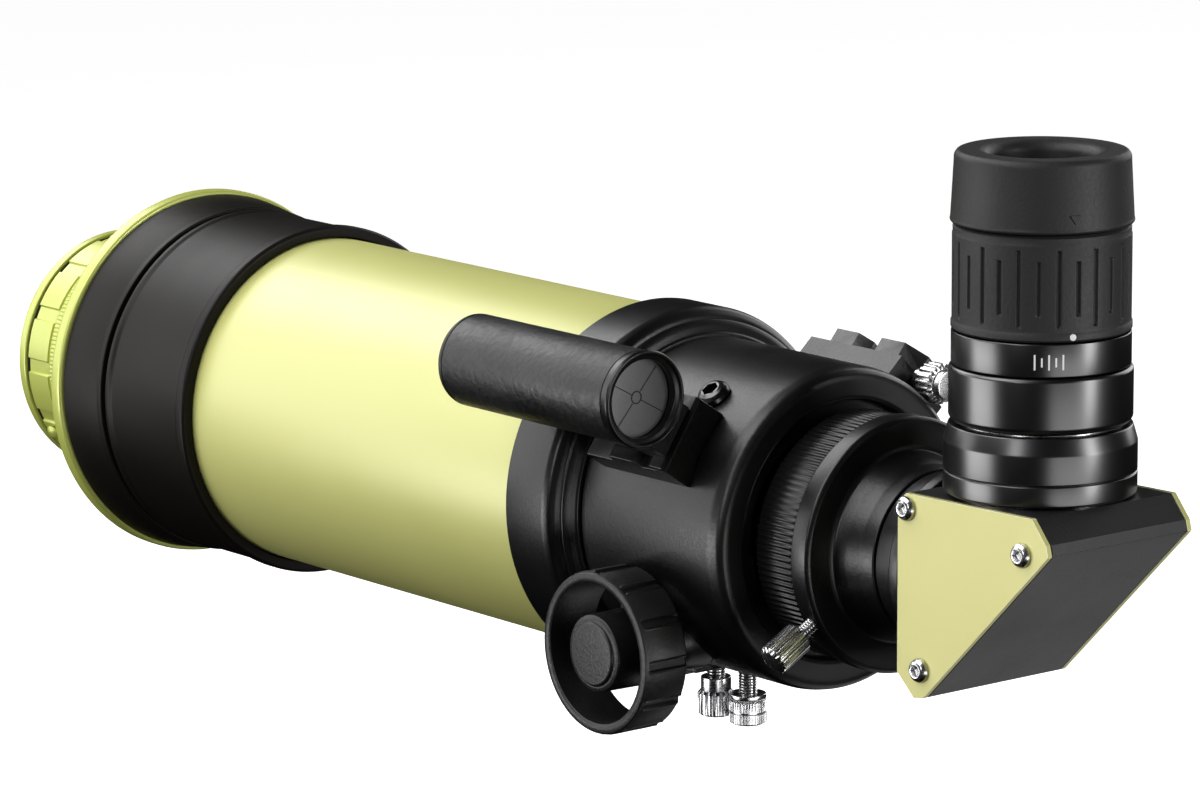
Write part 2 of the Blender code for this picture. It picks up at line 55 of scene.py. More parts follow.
# Angles in radians: an edge over SHARP shows as sharp, a CAD edge over BEVEL_FROM is rounded, and
# CAD faces within FLAT of each other are one face.
SHARP = math.radians(38)
BEVEL_FROM = math.radians(30)
FLAT = 0.01
MERGE_M = 1e-6

# A profile's point nearer the axis than ON_AXIS is on it. A rounded corner takes at most
# MOST_OF_A_SIDE of the shorter side next to it.
ON_AXIS = 1e-6
MOST_OF_A_SIDE = 0.42
CORNER_STEPS = 4

# The photograph's camera: angles in degrees, lens in millimetres.
CAMERA_PLACE_M = (-0.75872, -0.99277, 0.25644)
CAMERA_YAW = 38.52
CAMERA_PITCH = -11.24
CAMERA_ROLL = -0.36
CAMERA_LENS = 174.0
CAMERA_SHIFT = 0.0058

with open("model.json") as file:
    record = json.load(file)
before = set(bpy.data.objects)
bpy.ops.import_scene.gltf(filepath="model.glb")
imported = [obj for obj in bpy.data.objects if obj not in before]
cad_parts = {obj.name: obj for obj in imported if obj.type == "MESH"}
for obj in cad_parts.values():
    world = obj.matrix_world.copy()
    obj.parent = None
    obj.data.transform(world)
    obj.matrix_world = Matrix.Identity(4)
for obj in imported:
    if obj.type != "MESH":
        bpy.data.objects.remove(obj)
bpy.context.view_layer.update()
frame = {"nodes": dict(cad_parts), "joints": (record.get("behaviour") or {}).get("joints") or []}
shades = {}


# ---------------------------------------------------------------- helpers


def limits(node):
    """Lowest and highest corner of a CAD node, in millimetres."""
    low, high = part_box(node)
    return low / MM, high / MM


def middle(node):
    low, high = limits(node)
    return (low + high) / 2


def axis_frame(axis, origin=(0, 0, 0), side=(1, 0, 0)):
    """Millimetre frame at origin whose Z runs along axis."""
    z = Vector(axis).normalized()
    side = Vector(side)
    if abs(z.dot(side)) > 0.99:
        side = Vector((0, 1, 0))
    x = (side - z * z.dot(side)).normalized()
    turn = Matrix((x, z.cross(x), z)).transposed().to_4x4()
    return Matrix.Translation(Vector(origin)) @ turn


def joint_frame(name, outward=1):
    """Frame on a joint's axis, with its origin where the joint is."""
    joint = next(j for j in frame["joints"] if j["name"] == name)
    axis = Vector(joint["axis"]) * outward
    return axis_frame(axis, Vector(joint["pos_m"]) / MM)


def softened(profile, radius):
    """The same profile with every corner rounded, apart from ends on the axis."""
    closed = profile[0][0] > 0
    made = []
    count = len(profile)
    for i, point in enumerate(profile):
        here = Vector(point)
        if not closed and i in (0, count - 1):
            made.append(tuple(here))
            continue
        before = Vector(profile[i - 1])
        after = Vector(profile[(i + 1) % count])
        shorter = min((before - here).length, (after - here).length)
        reach = min(radius, MOST_OF_A_SIDE * shorter)
        start = here + (before - here).normalized() * reach
        end = here + (after - here).normalized() * reach
        for step in range(CORNER_STEPS + 1):
            t = step / CORNER_STEPS
            made.append(tuple(start * (1 - t) ** 2 + here * 2 * t * (1 - t) + end * t * t))
    return made


def build(name, points, faces, place):
    """Mesh object with its frame already in its vertices."""
    mesh = bpy.data.meshes.new(name)
    mesh.from_pydata([place @ Vector(p) * MM for p in points], [], faces)
    work = bmesh.new()
    work.from_mesh(mesh)
    bmesh.ops.recalc_face_normals(work, faces=work.faces)
    work.to_mesh(mesh)
    work.free()
    mesh.shade_smooth()
    mesh.set_sharp_from_angle(angle=SHARP)
    made = bpy.data.objects.new(name, mesh)
    bpy.context.scene.collection.objects.link(made)
    return made


def lathe(name, profile, place, steps=FINE, round_by=0.35, shape=None):
    """Turns a profile about Z; shape(turn, radius, height) can change each radius."""
    profile = softened(profile, round_by) if round_by else profile
    points = []
    rings = []
    for radius, height in profile:
        if radius < ON_AXIS:
            rings.append([len(points)] * steps)
            points.append((0, 0, height))
            continue
        rings.append(range(len(points), len(points) + steps))
        for i in range(steps):
            turn = 2 * math.pi * i / steps
            r = shape(turn, radius, height) if shape else radius
            points.append((r * math.cos(turn), r * math.sin(turn), height))
    pairs = list(zip(rings, rings[1:]))
    if profile[0][0] > 0:
        pairs.append((rings[-1], rings[0]))
    faces = []
    for upper, lower in pairs:
        for i in range(steps):
            j = (i + 1) % steps
            corners = [upper[i], lower[i], lower[j], upper[j]]
            faces.append(list(dict.fromkeys(corners)))
    return build(name, points, [f for f in faces if len(f) > 2], place)


def plate(name, outline, low, high, place):
    """Flat solid from an outline."""
    count = len(outline)
    points = [(x, y, low) for x, y in outline] + [(x, y, high) for x, y in outline]
    faces = [list(range(count)), list(range(count, 2 * count))]
    for i in range(count):
        j = (i + 1) % count
        faces.append([i, j, count + j, count + i])
    return build(name, points, faces, place)


def joined(name, *parts):
    """One object from several."""
    work = bmesh.new()
    for part in parts:
        work.from_mesh(part.data)
    mesh = bpy.data.meshes.new(name)
    work.to_mesh(mesh)
    work.free()
    for part in parts:
        bpy.data.objects.remove(part)
    mesh.set_sharp_from_angle(angle=SHARP)
    made = bpy.data.objects.new(name, mesh)
    bpy.context.scene.collection.objects.link(made)
    return made


def copied(node, width, segments=3):
    """Copy of a flat-sided CAD node with rounded edges."""
    work = bmesh.new()
    work.from_mesh(frame["nodes"][node].data)
    bmesh.ops.remove_doubles(work, verts=work.verts, dist=MERGE_M)
    bmesh.ops.dissolve_limit(work, angle_limit=FLAT, verts=work.verts, edges=work.edges)
    mesh = bpy.data.meshes.new(node + "_look")
    work.to_mesh(mesh)
    work.free()
    mesh.shade_smooth()
    mesh.set_sharp_from_angle(angle=SHARP)
    made = bpy.data.objects.new(node + "_look", mesh)
    bpy.context.scene.collection.objects.link(made)
    bevel = made.modifiers.new("edges", "BEVEL")
    bevel.width = width * MM
    bevel.segments = segments
    bevel.limit_method = "ANGLE"
    bevel.angle_limit = BEVEL_FROM
    bevel.harden_normals = True
    return made


def cut(target, tool):
    """Cuts a tool out of a target and removes the tool."""
    boolean = target.modifiers.new("cut", "BOOLEAN")
    boolean.operation = "DIFFERENCE"
    boolean.solver = "EXACT"
    boolean.object = tool
    bpy.context.view_layer.update()
    graph = bpy.context.evaluated_depsgraph_get()
    mesh = bpy.data.meshes.new_from_object(target.evaluated_get(graph))
    target.modifiers.clear()
    target.data = mesh
    mesh.set_sharp_from_angle(angle=SHARP)
    bpy.data.objects.remove(tool)


def box_tool(x0, x1, y0, y1, z0, z1):
    outline = [(x0, y0), (x1, y0), (x1, y1), (x0, y1)]
    return plate("tool", outline, z0, z1, Matrix.Identity(4))


def rod_tool(radius, low, high, place):
    return lathe("tool", [(0, high), (radius, high), (radius, low), (0, low)], place, SMALL, 0)


def add(piece, look, body, *nodes):
    """Gives a piece its look, its body and the CAD nodes that it stands for."""
    piece.data.materials.clear()
    piece.data.materials.append(shades[look])
    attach(piece, body)
    if nodes:
        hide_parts(*nodes)
    return piece


def raised(turn, count, width, soft=0.12):
    """1 on each of count raised parts round a piece, 0 between two, with sloping flanks."""
    place = (turn * count / (2 * math.pi)) % 1
    away = abs(place - 0.5) * 2
    step = min(1, max(0, (width - away) / soft + 0.5))
    return step * step * (3 - 2 * step)


ALONG_Y = axis_frame((0, 1, 0))


# ---------------------------------------------------------------- materials

CLOUD_SCALE = 45
RELIEF_DEPTH_M = 0.0002


def noise(tree, place, scale, detail):
    made = tree.nodes.new("ShaderNodeTexNoise")
    made.inputs["Scale"].default_value = scale
    made.inputs["Detail"].default_value = detail
    tree.links.new(place.outputs["Object"], made.inputs["Vector"])
    return made


def surface(name, colour, metallic, roughness, grain, bump, vary, rough_vary, specular=0.5):
    """Principled surface whose colour, roughness and relief vary over the object."""
    made = bpy.data.materials.new(name)
    made.use_nodes = True
    tree = made.node_tree
    shader = tree.nodes["Principled BSDF"]
    place = tree.nodes.new("ShaderNodeTexCoord")
    cloud = noise(tree, place, CLOUD_SCALE, 4)
    speck = noise(tree, place, grain, 3)
    blend = tree.nodes.new("ShaderNodeMath")
    blend.operation = "ADD"
    half = tree.nodes.new("ShaderNodeMath")
    half.operation = "MULTIPLY"
    half.inputs[1].default_value = 0.5
    mix = tree.nodes.new("ShaderNodeMix")
    mix.data_type = "RGBA"
    mix.inputs["A"].default_value = (*[c * (1 - vary) for c in colour], 1)
    mix.inputs["B"].default_value = (*[min(1, c * (1 + vary)) for c in colour], 1)
    rough = tree.nodes.new("ShaderNodeMapRange")
    rough.inputs["From Min"].default_value = 0.3
    rough.inputs["From Max"].default_value = 0.7
    rough.inputs["To Min"].default_value = roughness - rough_vary
    rough.inputs["To Max"].default_value = roughness + rough_vary
    relief = tree.nodes.new("ShaderNodeBump")
    relief.inputs["Strength"].default_value = bump
    relief.inputs["Distance"].default_value = RELIEF_DEPTH_M
    link = tree.links.new
    link(cloud.outputs["Fac"], blend.inputs[0])
    link(speck.outputs["Fac"], blend.inputs[1])
    link(blend.outputs[0], half.inputs[0])
    link(half.outputs[0], mix.inputs["Factor"])
    link(half.outputs[0], rough.inputs["Value"])
    link(mix.outputs["Result"], shader.inputs["Base Color"])
    link(rough.outputs["Result"], shader.inputs["Roughness"])
    link(speck.outputs["Fac"], relief.inputs["Height"])
    link(relief.outputs["Normal"], shader.inputs["Normal"])
    shader.inputs["Metallic"].default_value = metallic
    shader.inputs["Specular IOR Level"].default_value = specular
    shades[name] = made


def glass(name, colour, roughness):
    """Coated lens or filter glass, with faint smears."""
    surface(name, colour, 0.0, roughness, 300, 0.01, 0.03, 0.01)
    shader = shades[name].node_tree.nodes["Principled BSDF"]
    shader.inputs["IOR"].default_value = 1.52
    shader.inputs["Coat Weight"].default_value = 1.0
    shader.inputs["Coat Roughness"].default_value = 0.02


def materials():
    """Each surface: colour, metallic, roughness, grain, relief, spread of colour and of roughness."""
    surface("green", (0.55, 0.555, 0.185), 0.08, 0.40, 2600, 0.05, 0.04, 0.04, specular=1.0)
    surface("lime", (0.49, 0.54, 0.115), 0.25, 0.34, 2600, 0.05, 0.05, 0.04, specular=0.8)
    surface("plate_green", (0.49, 0.47, 0.17), 0.15, 0.36, 3000, 0.06, 0.05, 0.05)
    # Near-white colour for the side plates' bevels: a painted highlight along their edges.
    surface("painted_edge_highlight", (0.93, 0.94, 0.88), 0.0, 0.30, 3000, 0.03, 0.04, 0.04)
    surface("collar", (0.0060, 0.0048, 0.0042), 0.0, 0.42, 2200, 0.10, 0.12, 0.05, specular=0.15)
    surface("satin_black", (0.0032, 0.0032, 0.0034), 0.0, 0.33, 1800, 0.14, 0.15, 0.06, specular=0.42)
    surface("cast_black", (0.0042, 0.0042, 0.0044), 0.0, 0.36, 1500, 0.16, 0.20, 0.07, specular=0.45)
    surface("plastic", (0.0075, 0.0075, 0.0080), 0.0, 0.42, 1300, 0.30, 0.30, 0.10, specular=0.4)
    surface("mottled", (0.0085, 0.0085, 0.0090), 0.0, 0.46, 700, 0.70, 0.60, 0.12)
    surface("rubber", (0.0115, 0.0115, 0.0125), 0.0, 0.58, 1500, 0.35, 0.15, 0.07, specular=0.4)
    surface("rubber_dark", (0.0095, 0.0095, 0.0105), 0.0, 0.55, 1500, 0.25, 0.15, 0.07, specular=0.4)
    surface("gloss_black", (0.0022, 0.0022, 0.0024), 0.0, 0.29, 900, 0.0, 0.10, 0.01, specular=0.9)
    surface("housing", (0.0090, 0.0090, 0.0095), 0.0, 0.40, 2600, 0.25, 0.15, 0.07)
    surface("chrome", (0.66, 0.66, 0.67), 1.0, 0.26, 900, 0.03, 0.05, 0.05)
    surface("steel", (0.30, 0.30, 0.31), 1.0, 0.34, 1200, 0.10, 0.08, 0.08)
    surface("brass", (0.72, 0.52, 0.22), 1.0, 0.30, 1200, 0.08, 0.08, 0.06)
    surface("bore_black", (0.0020, 0.0020, 0.0020), 0.0, 0.75, 900, 0.20, 0.20, 0.05, specular=0.2)
    surface("screen_grey", (0.115, 0.115, 0.120), 0.0, 0.42, 1400, 0.35, 0.25, 0.08)
    surface("white_mark", (0.75, 0.75, 0.75), 0.0, 0.5, 1500, 0.05, 0.05, 0.05)
    surface("line_black", (0.003, 0.003, 0.003), 0.0, 0.6, 1500, 0.05, 0.10, 0.05)
    surface("silvered", (0.90, 0.91, 0.92), 1.0, 0.05, 500, 0.0, 0.02, 0.02)
    glass("filter_glass", (0.10, 0.012, 0.010), 0.06)
    glass("lens_glass", (0.05, 0.03, 0.07), 0.05)


# ---------------------------------------------------------------- front end

APERTURE_R = 21.0
FRONT_SPIGOT_R = 23.9
TUNING_BORE_R = 26.3
TICKS = 180
PADS = 14
TICKS_WIDE = 3.6
# Size of the black ring that paints the shade in the gap in front of the tuning ring.
GAP_SHADE_R = 27.9
GAP_SHADE_BORE_R = 24.1
GAP_SHADE_THICK = 0.8
BUTTON_SUNK = 0.65
NECK_R = 26.0
NECK_FOOT_R = 27.6
TUNER_SPIGOT_R = 25.7
FILTER_BORE_R = 22.5
TUNER_MOUTH_R = 24.2
TUNER_STEP_Y = 116.0


def front_ring():
    low, high = limits("front_ring")
    r = high.x
    back = limits("tuning_ring")[1].y + 1.0
    profile = [
        (r - 0.7, high.y),
        (r, high.y - 0.9),
        (r, back),
        (FRONT_SPIGOT_R, back),
        (FRONT_SPIGOT_R, low.y),
        (APERTURE_R, low.y),
        (APERTURE_R, high.y),
    ]
    add(lathe("front_ring_look", profile, ALONG_Y, round_by=0.4), "lime", "telescope", "front_ring")


def tuning_ring():
    """Ring with fine ticks round its rear edge and broad pads in front of them."""
    low, high = limits("tuning_ring")
    r = high.x
    ticks_end = low.y + TICKS_WIDE

    def grip(turn, radius, height):
        if radius < r - 1.5:
            return radius
        if height < ticks_end:
            return radius - 0.3 * (1 - raised(turn, TICKS, 0.55, 0.5))
        if height > ticks_end + 0.5:
            return radius - 0.55 * (1 - raised(turn, PADS, 0.74, 0.05))
        return radius

    profile = [
        (r - 0.3, high.y),
        (r, high.y - 0.3),
        (r, ticks_end + 0.9),
        (r, ticks_end + 0.55),
        (r - 0.45, ticks_end + 0.35),
        (r - 0.4, ticks_end),
        (r - 0.15, ticks_end - 0.15),
        (r - 0.15, low.y + 0.5),
        (r - 0.5, low.y + 0.45),
        (r - 0.5, low.y),
        (TUNING_BORE_R, low.y),
        (TUNING_BORE_R, high.y),
    ]
    ring = lathe("tuning_ring_look", profile, ALONG_Y, 6 * TICKS, 0, grip)
    add(ring, "lime", "tuner", "tuning_ring")


def tuning_gap_shade():
    """Dark ring in the gap between the tuning ring and the front ring: painted shade, a matte black sheet
    that darkens the gap.
    """
    back = limits("tuning_ring")[1].y + 0.1
    front = back + GAP_SHADE_THICK
    profile = [(GAP_SHADE_R, front), (GAP_SHADE_R, back), (GAP_SHADE_BORE_R, back), (GAP_SHADE_BORE_R, front)]
    add(lathe("tuning_gap_shade", profile, ALONG_Y, round_by=0.1), "bore_black", "telescope")


def tuning_button():
    centre = middle("tuning_button")
    out = Vector((centre.x, 0, centre.z)).normalized()
    place = axis_frame(out, centre - out * BUTTON_SUNK)
    dome = [(0, 1.35), (1.0, 1.25), (1.9, 0.7), (1.9, 0), (0, 0)]
    add(lathe("tuning_button_look", dome, place, SMALL, 0.3), "lime", "tuner", "tuning_button")


def tuner_cell():
    low, high = limits("tuner_cell")
    shoulder = limits("tuning_ring")[0].y - GAP
    flange = limits("front_flange")[1].y + GAP
    profile = [
        (NECK_R, high.y),
        (NECK_R, shoulder),
        (NECK_FOOT_R, shoulder),
        (NECK_FOOT_R, flange),
        (TUNER_SPIGOT_R, flange),
        (TUNER_SPIGOT_R, low.y),
        (FILTER_BORE_R, low.y),
        (FILTER_BORE_R, TUNER_STEP_Y),
        (TUNER_MOUTH_R, TUNER_STEP_Y),
        (TUNER_MOUTH_R, high.y),
    ]
    add(lathe("tuner_cell_look", profile, ALONG_Y, round_by=0.25), "lime", "telescope", "tuner_cell")


def filters():
    for node in ("filter_plate_front", "filter_plate_rear"):
        low, high = limits(node)
        profile = [(0, high.y), (high.x, high.y), (high.x, low.y), (0, low.y)]
        add(lathe(node + "_look", profile, ALONG_Y), "filter_glass", "telescope", node)


# ---------------------------------------------------------------- collar, tube and back cell

FLANGE_BACK = 103.3
FLANGE_SPIGOT_R = 36.2
FLANGE_BORE_R = 26.0
COLLAR_SPLIT_R = 40.1
COLLAR_BORE_R = 36.5
COLLAR_GROOVE_R = 38.3
COLLAR_LIP_R = 39.75
COLLAR_WAIST_R = 39.35
COLLAR_THROAT_R = 34.0
TUBE_BORE_R = 35.2
TUBE_FIT_R = 37.3
TUBE_FRONT_FIT = 75.3
TUBE_BACK_FIT = -65.3
TUBE_STOP_R = 33.5
BACK_SPIGOT_R = 28.9
BACK_THROAT_R = 27.0
BACK_CONE_END = -70.0


def front_flange():
    low, high = limits("front_flange")
    r = high.x
    profile = [
        (r - 0.6, high.y),
        (r, high.y - 0.9),
        (r, FLANGE_BACK),
        (FLANGE_SPIGOT_R, FLANGE_BACK),
        (FLANGE_SPIGOT_R, low.y),
        (FLANGE_BORE_R, low.y),
        (FLANGE_BORE_R, high.y),
    ]
    add(lathe("front_flange_look", profile, ALONG_Y, LARGE, 0.8), "lime", "telescope", "front_flange")


def collar_front():
    low, high = limits("collar_front")
    profile = [
        (high.x, high.y),
        (COLLAR_SPLIT_R, low.y + 1.5),
        (COLLAR_SPLIT_R, low.y),
        (COLLAR_BORE_R, low.y),
        (COLLAR_BORE_R, high.y),
    ]
    add(lathe("collar_front_look", profile, ALONG_Y, LARGE, 0.3), "collar", "telescope", "collar_front")


def collar_rear():
    """Rear half of the collar, with the dark groove where the halves meet and a rim on the tube."""
    low, high = limits("collar_rear")
    split = limits("collar_front")[0].y - 0.4
    r = high.x
    profile = [
        (FLANGE_SPIGOT_R, high.y),
        (FLANGE_SPIGOT_R, split),
        (COLLAR_GROOVE_R, split),
        (COLLAR_GROOVE_R, split - 0.7),
        (COLLAR_LIP_R, split - 0.8),
        (COLLAR_LIP_R, split - 2.0),
        (COLLAR_WAIST_R, split - 3.0),
        (COLLAR_WAIST_R, low.y + 3.4),
        (r, low.y + 2.8),
        (r, low.y + 0.6),
        (r - 0.6, low.y),
        (TUBE_FIT_R, low.y),
        (TUBE_FIT_R, TUBE_FRONT_FIT),
        (COLLAR_THROAT_R, TUBE_FRONT_FIT),
        (COLLAR_THROAT_R, high.y),
    ]
    add(lathe("collar_rear_look", profile, ALONG_Y, LARGE, 0.3), "collar", "telescope", "collar_rear")


def main_tube():
    low, high = limits("main_tube")
    profile = [(high.x, high.y), (high.x, low.y), (TUBE_BORE_R, low.y), (TUBE_BORE_R, high.y)]
    add(lathe("main_tube_look", profile, ALONG_Y, LARGEST, 0.2), "green", "telescope", "main_tube")


def back_cell():
    """Ring on the tube's end that rounds off, over a groove, onto the focuser's drum."""
    low, high = limits("back_cell")
    r = high.x
    front = high.y
    profile = [
        (r - 0.4, front),
        (r, front - 0.4),
        (r, front - 12.6),
        (r - 0.5, front - 13.9),
        (r - 1.8, front - 14.9),
        (r - 2.7, front - 15.2),
        (r - 2.9, front - 15.6),
        (r - 2.4, front - 16.0),
        (r - 3.4, front - 16.7),
        (r - 4.9, front - 17.3),
        (r - 5.3, front - 17.7),
        (BACK_SPIGOT_R, front - 17.7),
        (BACK_SPIGOT_R, low.y),
        (BACK_THROAT_R, low.y),
        (BACK_THROAT_R, BACK_CONE_END),
        (TUBE_STOP_R, TUBE_BACK_FIT),
        (TUBE_FIT_R, TUBE_BACK_FIT),
        (TUBE_FIT_R, front),
    ]
    add(lathe("back_cell_look", profile, ALONG_Y, LARGE, 0.5), "satin_black", "telescope", "back_cell")


# ---------------------------------------------------------------- focuser

# Reach of a cutter that goes right through the drum or the drawtube.
THROUGH = 40
DRUM_MOUTH_R = 29.2
DRUM_RECESS_R = 27.0
DRUM_RECESS = 4.0
DRUM_STEP_Y = -84.3
DRAW_FIT_R = 21.4
DRAW_BORE_R = 17.4
COVER_SEAT_HALF = 9.3
COVER_SEAT_FRONT = -70
COVER_SEAT_LOW = -50
BUSH_R = 3.6
BUSH_FIT_R = 3.9
BUSH_BORE_R = 2.3
BUSH_IN = 10.5
BUSH_OUT = 27.0
BOSS_IN = 19.6
BOSS_OUT = 29.6
PINION_POCKET_HALF = 3.4
PINION_POCKET_LOW = -27.2
PINION_POCKET_TOP = -18
LOCK_HOLE_R = 2.3
LOCK_HOLE_LONG = 30
RACK_SLOT_HALF = 3.3
RACK_SLOT_BACK = -104.3
RACK_SLOT_TOP = -18.6
DRUM_SCREW_LEAN = 0.7
DRUM_SCREW_SEAT = 33.96
KNURLS = 118


def focuser_body():
    """Drum with its recessed back, the seat of the cover, and the holes for the pinion and the lock screw."""
    low, high = limits("focuser_body")
    r = high.x
    back = low.y
    profile = [
        (r, high.y),
        (r, back + 3.4),
        (r - 0.5, back + 1.2),
        (r - 1.5, back + 0.2),
        (r - 2.4, back),
        (DRUM_RECESS_R + 0.6, back),
        (DRUM_RECESS_R, back + 0.6),
        (DRUM_RECESS_R, back + DRUM_RECESS),
        (DRAW_FIT_R, back + DRUM_RECESS),
        (DRAW_FIT_R, DRUM_STEP_Y),
        (DRUM_MOUTH_R, DRUM_STEP_Y),
        (DRUM_MOUTH_R, high.y),
    ]
    drum = lathe("focuser_body_look", profile, ALONG_Y, LARGE, 0.7)
    seat_low, seat_high = limits("cover_plate")
    seat = (-COVER_SEAT_HALF, COVER_SEAT_HALF, seat_low.y - GAP, COVER_SEAT_FRONT)
    cut(drum, box_tool(*seat, COVER_SEAT_LOW, seat_high.z + GAP))
    shaft = middle("pinion_shaft")
    cut(drum, rod_tool(BUSH_FIT_R, -THROUGH, THROUGH, axis_frame((1, 0, 0), shaft)))
    pocket = (-PINION_POCKET_HALF, PINION_POCKET_HALF, shaft.y - BUSH_FIT_R, shaft.y + BUSH_FIT_R)
    cut(drum, box_tool(*pocket, PINION_POCKET_LOW, PINION_POCKET_TOP))
    lock = joint_frame("lock_screw_turn").translation
    cut(drum, rod_tool(LOCK_HOLE_R, 0, LOCK_HOLE_LONG, axis_frame((0, 0, 1), lock)))
    add(drum, "cast_black", "telescope", "focuser_body")


def pinion_bushes():
    """Brass bushes of the pinion shaft, each in a boss on the side of the drum."""
    shaft = middle("pinion_shaft")
    for side, name in SIDES:
        node = f"bush_{name}"
        place = axis_frame((side, 0, 0), (0, shaft.y, shaft.z))
        profile = [(BUSH_R, BUSH_OUT), (BUSH_R, BUSH_IN), (BUSH_BORE_R, BUSH_IN), (BUSH_BORE_R, BUSH_OUT)]
        add(lathe(node + "_look", profile, place, SMALL, 0.3), "brass", "telescope", node)
        profile = [
            (4.0, BOSS_OUT),
            (5.4, BOSS_OUT - 1.0),
            (6.4, BOSS_OUT - 3.6),
            (7.2, BOSS_IN),
            (3.8, BOSS_IN),
            (3.8, BOSS_OUT),
        ]
        add(lathe(f"pinion_boss_{name}", profile, place, SMALL, 0.8), "cast_black", "telescope")


def focuser_cover():
    for node, look in (("cover_plate", "steel"), ("cover_block", "satin_black")):
        add(copied(node, 0.35), look, "telescope", node)


def drum_screw():
    """Button-head screw beside the finder, square to the drum."""
    centre = middle("drum_screw")
    out = Vector((centre.x + DRUM_SCREW_LEAN, 0, centre.z)).normalized()
    place = axis_frame(out, (0, centre.y, 0))
    button("drum_screw", "gloss_black", "telescope", place, DRUM_SCREW_SEAT, 3.6, 5.4)


def drawtube():
    """Chromed tube with the focusing rack in a slot along its underside."""
    low, high = limits("drawtube")
    profile = [(high.x, high.y), (high.x, low.y), (DRAW_BORE_R, low.y), (DRAW_BORE_R, high.y)]
    tube = lathe("drawtube_look", profile, ALONG_Y, FINE, 0.25)
    cut(tube, box_tool(-RACK_SLOT_HALF, RACK_SLOT_HALF, RACK_SLOT_BACK, -THROUGH, -THROUGH, RACK_SLOT_TOP))
    add(tube, "chrome", "focuser", "drawtube")
    add(copied("focus_rack", 0.05, 1), "brass", "focuser", "focus_rack")


def knurled_ring():
    low, high = limits("knurled_ring")
    r = high.x

    def knurl(turn, radius, height):
        if radius < r - 0.6:
            return radius
        return radius - 0.3 * (1 - raised(turn, KNURLS, 0.5, 0.7))

    profile = [
        (r - 0.8, high.y),
        (r - 0.3, high.y - 0.5),
        (r, high.y - 0.9),
        (r, low.y + 0.9),
        (r - 0.3, low.y + 0.5),
        (r - 0.8, low.y),
        (DRAW_FIT_R, low.y),
        (DRAW_FIT_R, high.y),
    ]
    ring = lathe("knurled_ring_look", profile, ALONG_Y, 8 * KNURLS, 0, knurl)
    add(ring, "satin_black", "lock_ring", "knurled_ring")


VISUAL_SPIGOT_R = 16.9
VISUAL_SHOULDER_Y = -137.0
VISUAL_NECK_Y = -143.2
VISUAL_WAIST_Y = -146.5
SOCKET_R = 16.2
KNOB_STANDS = 0.8
KNOB_DEPTH = 11.7
KNOB_PADS = 12
SPOKES = 3
SPOKE_OUTLINE = [(6.5, -1.9), (15.2, -2.4), (15.2, 2.4), (6.5, 1.9)]


def visual_back():
    """Flange behind the knurled ring, narrowing to the socket of the diagonal's nose."""
    low, high = limits("visual_back")
    r = high.x
    band = limits("knurled_ring")[0].y - 0.4
    profile = [
        (VISUAL_SPIGOT_R, high.y),
        (VISUAL_SPIGOT_R, VISUAL_SHOULDER_Y),
        (DRAW_FIT_R, VISUAL_SHOULDER_Y),
        (DRAW_FIT_R, band),
        (r, band),
        (r, band - 4.3),
        (r - 0.8, band - 5.0),
        (20.6, band - 5.0),
        (19.6, band - 5.3),
        (18.6, VISUAL_NECK_Y),
        (17.7, VISUAL_WAIST_Y),
        (17.3, low.y),
        (SOCKET_R, low.y),
        (SOCKET_R, high.y),
    ]
    add(lathe("visual_back_look", profile, ALONG_Y, LARGE, 0.35), "satin_black", "focuser", "visual_back")


def focus_knob(side, name):
    """Knob with twelve broad pads round its rim, three spokes and a stepped hub."""
    node = f"focus_knob_{name}"
    place = joint_frame("focus_pinion", side)
    low, high = limits(node)
    r = (high.z - low.z) / 2
    reach = max(abs(low.x), abs(high.x))
    rim = reach - KNOB_STANDS
    back = rim - KNOB_DEPTH

    def grip(turn, radius, height):
        if radius < r - 1.0 or height > rim - 1.1:
            return radius
        pad = raised(turn, KNOB_PADS, 0.80, 0.05)
        edge = pad - raised(turn, KNOB_PADS, 0.72, 0.05)
        return radius - 0.55 * (1 - pad) + 0.15 * edge

    profile = [
        (r - 1.0, rim),
        (r - 0.45, rim - 0.15),
        (r - 0.2, rim - 0.5),
        (r - 0.2, rim - 1.0),
        (r, rim - 1.3),
        (r, back + 1.4),
        (r - 0.5, back + 0.8),
        (r - 1.4, back + 0.2),
        (r - 2.2, back),
        (r - 2.3, back),
        (r - 2.3, rim - 0.3),
        (r - 1.9, rim),
    ]
    outer = lathe(node + "_rim", profile, place, 48 * KNOB_PADS, 0, grip)
    spokes = []
    for i in range(SPOKES):
        turn = Matrix.Rotation(math.radians(30 + 360 / SPOKES * i), 4, "Z")
        spokes.append(plate(f"{node}_spoke_{i}", SPOKE_OUTLINE, back + 0.1, back + 2.9, place @ turn))
    profile = [
        (0, reach),
        (6.3, reach),
        (6.6, reach - 0.25),
        (6.7, reach - 0.65),
        (7.1, reach - 0.6),
        (8.0, reach - 0.9),
        (8.2, back + 1.0),
        (6.2, back - 1.0),
        (5.4, back - 3.2),
        (0, back - 3.2),
    ]
    hub = lathe(node + "_hub", profile, place, MEDIUM, 0.3)
    add(joined(node + "_look", outer, hub, *spokes), "plastic", "pinion", node)


def focus_knobs():
    for side, name in SIDES:
        focus_knob(side, name)


# ---------------------------------------------------------------- screws

THREAD_PITCH = 0.6
THREAD_DEPTH = 0.28
FLUTE_DEPTH = 0.45
SPLIT_FLUTE_DEPTH = 0.2


def thread(radius, low, high):
    """Outer side of a thread, from high down to low, as a row of small ridges."""
    count = max(2, int((high - low) / THREAD_PITCH))
    step = (high - low) / count
    rows = []
    for i in range(count):
        top = high - i * step
        rows += [(radius - THREAD_DEPTH, top), (radius, top - step * 0.5)]
    return rows + [(radius - THREAD_DEPTH, low)]


